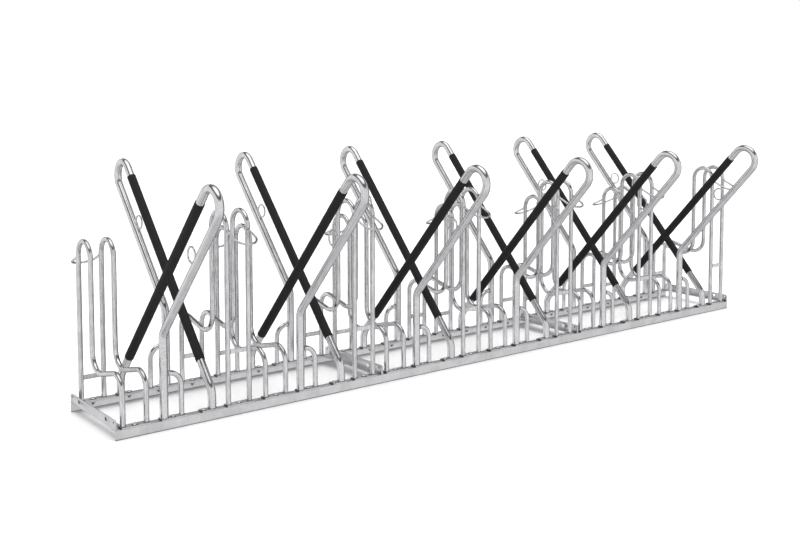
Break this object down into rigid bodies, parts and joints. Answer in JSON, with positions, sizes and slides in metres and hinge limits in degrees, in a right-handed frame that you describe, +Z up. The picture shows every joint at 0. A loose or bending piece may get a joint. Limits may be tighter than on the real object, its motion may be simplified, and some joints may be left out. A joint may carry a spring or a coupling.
{
  "type": "two tier bike rack",
  "caption": "Galvanised steel floor rack with low and high wheel holders facing both ways, each beside a leaning support arm with a dark grip sleeve and a lock ring",
  "frame": {"origin": "centre of the footprint, on the floor", "axes": "+X along the rails, +Y from the low entry side to the high entry side, +Z up"},
  "size_m": [2.9998, 1.1142, 0.7949],
  "materials": {
    "galvanised": "hot dip galvanised, light grey with a soft mottle",
    "sleeve": "smooth near-black rubber hose",
    "fastener": "bright zinc plated"
  },
  "bodies": {
    "root": {"rail_front_1": "galvanised", "rail_rear_1": "galvanised", "end_angle_left_1": "galvanised", "end_angle_right_1": "galvanised", "rail_front_2": "galvanised", "rail_rear_2": "galvanised", "end_angle_left_2": "galvanised", "end_angle_right_2": "galvanised", "rail_front_3": "galvanised", "rail_rear_3": "galvanised", "end_angle_left_3": "galvanised", "end_angle_right_3": "galvanised", "low_wheel_holder_1": "galvanised", "front_support_arm_1": "galvanised", "front_grip_sleeve_1": "sleeve", "rear_support_arm_1": "galvanised", "rear_grip_sleeve_1": "sleeve", "high_wheel_holder_1": "galvanised", "low_wheel_holder_2": "galvanised", "front_support_arm_2": "galvanised", "front_grip_sleeve_2": "sleeve", "rear_support_arm_2": "galvanised", "rear_grip_sleeve_2": "sleeve", "high_wheel_holder_2": "galvanised", "low_wheel_holder_3": "galvanised", "front_support_arm_3": "galvanised", "front_grip_sleeve_3": "sleeve", "rear_support_arm_3": "galvanised", "rear_grip_sleeve_3": "sleeve", "high_wheel_holder_3": "galvanised", "low_wheel_holder_4": "galvanised", "front_support_arm_4": "galvanised", "front_grip_sleeve_4": "sleeve", "rear_support_arm_4": "galvanised", "rear_grip_sleeve_4": "sleeve", "high_wheel_holder_4": "galvanised", "low_wheel_holder_5": "galvanised", "front_support_arm_5": "galvanised", "front_grip_sleeve_5": "sleeve", "rear_support_arm_5": "galvanised", "rear_grip_sleeve_5": "sleeve", "high_wheel_holder_5": "galvanised", "low_wheel_holder_6": "galvanised", "front_support_arm_6": "galvanised", "front_grip_sleeve_6": "sleeve", "rear_support_arm_6": "galvanised", "rear_grip_sleeve_6": "sleeve", "high_wheel_holder_6": "galvanised", "seam_bolt_front_1": "fastener", "seam_nut_front_1": "fastener", "seam_bolt_rear_1": "fastener", "seam_nut_rear_1": "fastener", "seam_bolt_front_2": "fastener", "seam_nut_front_2": "fastener", "seam_bolt_rear_2": "fastener", "seam_nut_rear_2": "fastener"}
  },
  "joints": []
}
